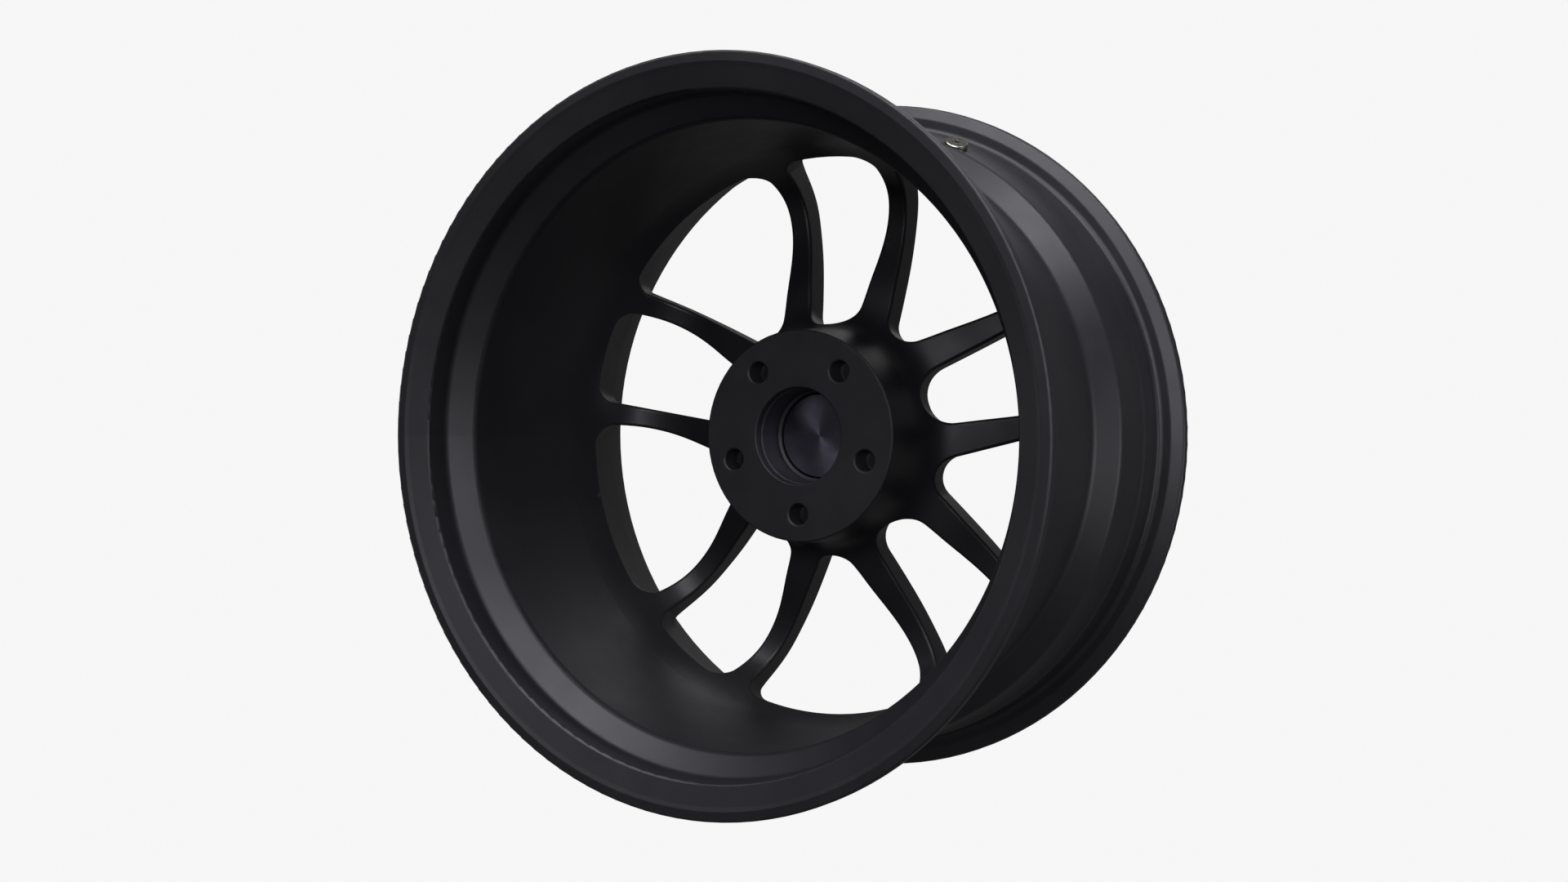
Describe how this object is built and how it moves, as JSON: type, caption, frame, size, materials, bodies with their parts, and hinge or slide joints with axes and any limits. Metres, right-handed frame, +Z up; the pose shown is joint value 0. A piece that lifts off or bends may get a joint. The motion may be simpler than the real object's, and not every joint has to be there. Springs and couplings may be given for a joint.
{
  "type": "racing wheel",
  "caption": "Forged one-piece racing wheel with split-style spokes, a deep inboard barrel, a flat bolt-on hub pad, pressed steel lug seats, a push-in centre cap and a clamp-in valve.",
  "frame": {"origin": "on the wheel's axis, halfway between the two rim flanges", "axes": "+Y along the axis towards the inboard side, where the hub pad bolts on; -Y is the outboard face; +Z is up, opposite the lowest bolt hole"},
  "size_m": [0.4976, 0.2534, 0.4976],
  "materials": {
    "forging_black": "satin black powder coat",
    "seat_steel": "zinc plated",
    "cap_aluminium": "turned and anodised",
    "seal_rubber": "matte",
    "valve_metal": "nickel plated",
    "core_brass": "bare",
    "valve_cap_black": "anodised"
  },
  "bodies": {
    "wheel": {"wheel_forging": "forging_black", "lug_seat_1": "seat_steel", "lug_seat_2": "seat_steel", "lug_seat_3": "seat_steel", "lug_seat_4": "seat_steel", "lug_seat_5": "seat_steel", "valve_stem": "valve_metal", "valve_grommet": "seal_rubber", "valve_washer": "valve_metal", "valve_nut": "valve_metal", "valve_core_body": "core_brass", "valve_core_gasket": "seal_rubber", "valve_core_spring": "valve_metal"},
    "centre_cap": {"centre_cap_body": "cap_aluminium", "centre_cap_face": "cap_aluminium", "centre_cap_seal_inboard": "seal_rubber", "centre_cap_seal_outboard": "seal_rubber"},
    "core_pin": {"valve_core_pin": "core_brass", "valve_core_cup": "seal_rubber"},
    "cap_seal": {"valve_cap_seal": "seal_rubber"},
    "cap_shell": {"valve_cap": "valve_cap_black"}
  },
  "joints": [
    {"name": "centre_cap_pull", "type": "slide", "parent": "wheel", "child": "centre_cap", "axis": [0, -1, 0], "range_m": [0, 0.04]},
    {"name": "core_pin_press", "type": "slide", "parent": "wheel", "child": "core_pin", "axis": [-0.3973, 0.4226, 0.8146], "range_m": [0, 0.0016], "stiffness_N_per_m": 800, "springref_m": -0.001, "deforming": ["valve_core_spring"]},
    {"name": "valve_cap_lift", "type": "slide", "parent": "wheel", "child": "cap_seal", "axis": [0.3973, -0.4226, -0.8146], "range_m": [0, 0.00794]},
    {"name": "valve_cap_turn", "type": "hinge", "parent": "cap_seal", "child": "cap_shell", "pos_m": [-0.08626, -0.07752, 0.17685], "axis": [0.3973, -0.4226, -0.8146], "range_deg": [0, 3600]}
  ],
  "couplings": [
    {"joint": "valve_cap_turn", "follows": "valve_cap_lift", "rad_per_m": 7913.3}
  ]
}
